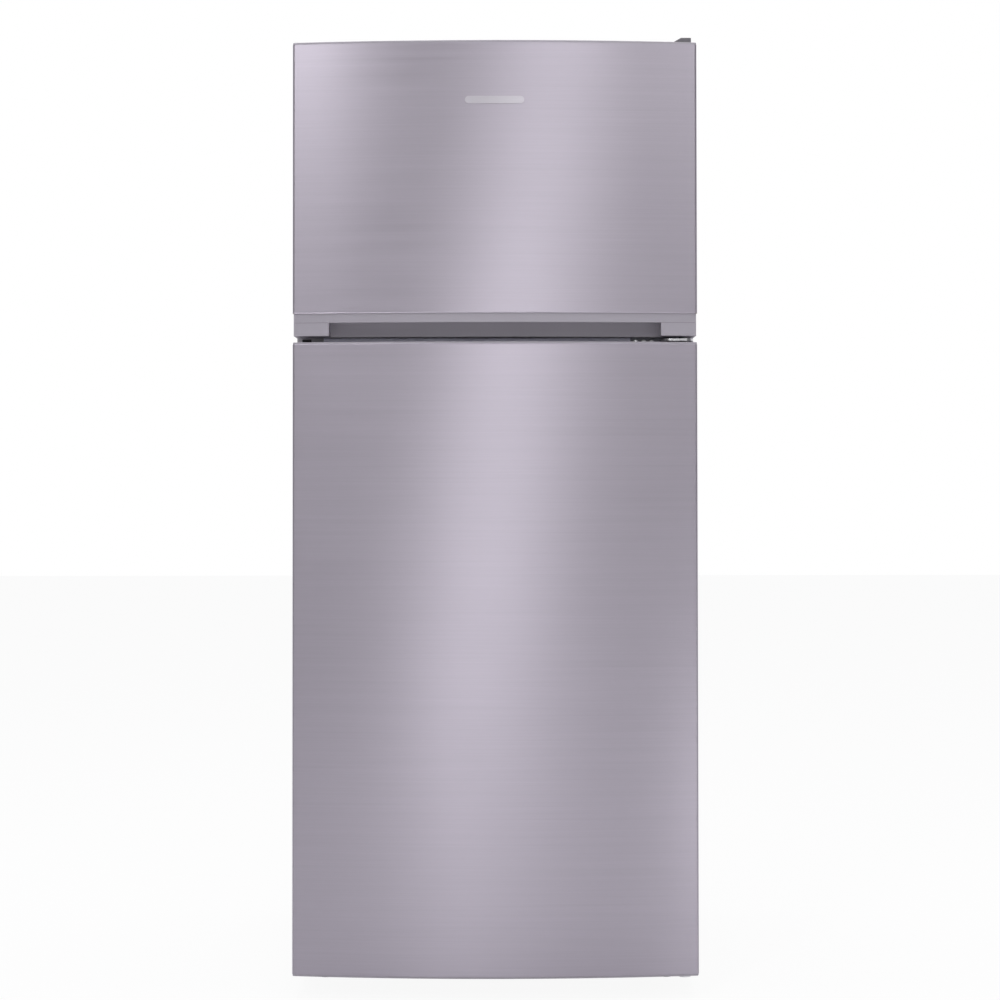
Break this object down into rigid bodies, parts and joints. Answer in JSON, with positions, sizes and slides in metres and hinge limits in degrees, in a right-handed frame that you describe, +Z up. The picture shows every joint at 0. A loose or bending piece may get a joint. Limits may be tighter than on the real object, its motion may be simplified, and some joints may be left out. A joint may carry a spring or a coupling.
{
  "type": "top freezer refrigerator",
  "caption": "Upright refrigerator with a freezer door over a taller fridge door, both bowed and hinged at the right, a grip lip between them, fitted compartments, drawers and rear condenser.",
  "frame": {"origin": "middle of the floor area under the appliance", "axes": "+Z up, -Y out of the doors, +X towards the hinges (the viewer's right)"},
  "size_m": [0.7, 0.7172, 1.665],
  "materials": {
    "door_steel": "brushed stainless look, satin",
    "cabinet_paint": "semi-gloss silver grey enamel",
    "zinc_steel": "bright zinc plate",
    "galvanised": "spangled galvanised sheet",
    "foam": "rigid polyurethane foam",
    "liner_white": "glossy white polystyrene",
    "grey_plastic": "moulded silver grey plastic",
    "nameplate": "bright brushed plate",
    "gasket": "soft grey vinyl",
    "clear_plastic": "clear polystyrene",
    "shelf_glass": "tempered, clear",
    "white_plastic": "moulded white plastic",
    "black_enamel": "gloss black",
    "black_plastic": "moulded black",
    "rubber_black": "matt black",
    "copper": "bare copper tube",
    "evaporator_metal": "plain finned coil"
  },
  "bodies": {
    "cabinet": {"cabinet_wrap": "cabinet_paint", "rear_panel": "galvanised", "insulation_foam": "foam", "freezer_liner": "liner_white", "fridge_liner": "liner_white", "crossbar": "cabinet_paint", "base_pan": "galvanised", "compressor_tray": "galvanised", "compressor": "black_enamel", "compressor_mounts": "rubber_black", "relay_cover": "black_plastic", "drain_pan": "black_plastic", "cord_gland": "rubber_black", "condenser_coil": "black_enamel", "condenser_wires": "black_enamel", "condenser_clips": "white_plastic", "refrigerant_lines": "copper", "top_hinge": "zinc_steel", "top_hinge_cover": "grey_plastic", "middle_hinge": "zinc_steel", "bottom_hinge": "zinc_steel", "cabinet_screws": "zinc_steel", "hinge_hole_plugs": "grey_plastic", "evaporator": "evaporator_metal", "evaporator_cover": "white_plastic", "fan_motor": "black_plastic", "freezer_shelf": "white_plastic", "ice_maker_frame": "white_plastic", "shelf_panes": "shelf_glass", "shelf_trims": "white_plastic", "crisper_cover": "white_plastic", "air_duct": "white_plastic", "control_box": "white_plastic", "lamp_lens": "clear_plastic"},
    "freezer_door": {"freezer_door_skin": "door_steel", "freezer_door_caps": "grey_plastic", "freezer_door_foam": "foam", "freezer_door_liner": "liner_white", "freezer_door_gasket": "gasket", "freezer_door_bins": "clear_plastic", "badge": "nameplate"},
    "fridge_door": {"fridge_door_skin": "door_steel", "fridge_door_caps": "grey_plastic", "fridge_door_foam": "foam", "fridge_door_liner": "liner_white", "fridge_door_gasket": "gasket", "fridge_door_bins": "clear_plastic"},
    "dairy_lid": {"dairy_lid": "clear_plastic"},
    "ice_tray": {"ice_tray": "white_plastic"},
    "ice_bin": {"ice_bin": "clear_plastic"},
    "crisper_left": {"crisper_left": "clear_plastic"},
    "crisper_right": {"crisper_right": "clear_plastic"},
    "humidity_slider": {"humidity_slider": "grey_plastic"},
    "thermostat_knob": {"thermostat_knob": "grey_plastic"},
    "light_switch_button": {"light_switch_button": "white_plastic"},
    "fan_blade": {"fan_blade": "black_plastic"},
    "foot_left": {"foot_left": "black_plastic"},
    "foot_right": {"foot_right": "black_plastic"},
    "roller_left": {"roller_left": "black_plastic"},
    "roller_right": {"roller_right": "black_plastic"}
  },
  "joints": [
    {"name": "freezer_door_hinge", "type": "hinge", "parent": "cabinet", "child": "freezer_door", "pos_m": [0.328, -0.3074, 1.649], "axis": [0, 0, 1], "range_deg": [0, 120]},
    {"name": "fridge_door_hinge", "type": "hinge", "parent": "cabinet", "child": "fridge_door", "pos_m": [0.328, -0.3074, 0.038], "axis": [0, 0, 1], "range_deg": [0, 120]},
    {"name": "dairy_lid_hinge", "type": "hinge", "parent": "fridge_door", "child": "dairy_lid", "pos_m": [0, -0.2694, 0.9185], "axis": [1, 0, 0], "range_deg": [0, 92]},
    {"name": "ice_tray_twist", "type": "hinge", "parent": "cabinet", "child": "ice_tray", "pos_m": [-0.1865, -0.1424, 1.51806], "axis": [0, 1, 0], "range_deg": [0, 150], "stiffness_Nm_per_rad": 0.3},
    {"name": "ice_bin_slide", "type": "slide", "parent": "cabinet", "child": "ice_bin", "axis": [0, -1, 0], "range_m": [0, 0.17]},
    {"name": "crisper_left_slide", "type": "slide", "parent": "cabinet", "child": "crisper_left", "axis": [0, -1, 0], "range_m": [0, 0.21]},
    {"name": "crisper_right_slide", "type": "slide", "parent": "cabinet", "child": "crisper_right", "axis": [0, -1, 0], "range_m": [0, 0.21]},
    {"name": "humidity_slide", "type": "slide", "parent": "cabinet", "child": "humidity_slider", "axis": [1, 0, 0], "range_m": [0, 0.03]},
    {"name": "thermostat_turn", "type": "hinge", "parent": "cabinet", "child": "thermostat_knob", "pos_m": [0.06, -0.2374, 1.086], "axis": [0, 1, 0], "range_deg": [0, 270]},
    {"name": "light_switch_press", "type": "slide", "parent": "cabinet", "child": "light_switch_button", "axis": [0, 1, 0], "range_m": [0, 0.004], "stiffness_N_per_m": 150},
    {"name": "fan_spin", "type": "hinge", "parent": "cabinet", "child": "fan_blade", "pos_m": [0, 0.2226, 1.512], "axis": [0, 1, 0], "continuous": true},
    {"name": "foot_left_screw", "type": "hinge", "parent": "cabinet", "child": "foot_left", "pos_m": [-0.305, -0.1854, 0], "axis": [0, 0, 1], "continuous": true},
    {"name": "foot_right_screw", "type": "hinge", "parent": "cabinet", "child": "foot_right", "pos_m": [0.305, -0.1854, 0], "axis": [0, 0, 1], "continuous": true},
    {"name": "roller_left_spin", "type": "hinge", "parent": "cabinet", "child": "roller_left", "pos_m": [-0.308, 0.2986, 0.013], "axis": [1, 0, 0], "continuous": true},
    {"name": "roller_right_spin", "type": "hinge", "parent": "cabinet", "child": "roller_right", "pos_m": [0.308, 0.2986, 0.013], "axis": [1, 0, 0], "continuous": true}
  ],
  "couplings": [
    {"joint": "ice_bin_slide", "follows": "freezer_door_hinge", "m_per_rad": 0.08},
    {"joint": "crisper_left_slide", "follows": "fridge_door_hinge", "m_per_rad": 0.1},
    {"joint": "crisper_right_slide", "follows": "fridge_door_hinge", "m_per_rad": 0.1}
  ]
}
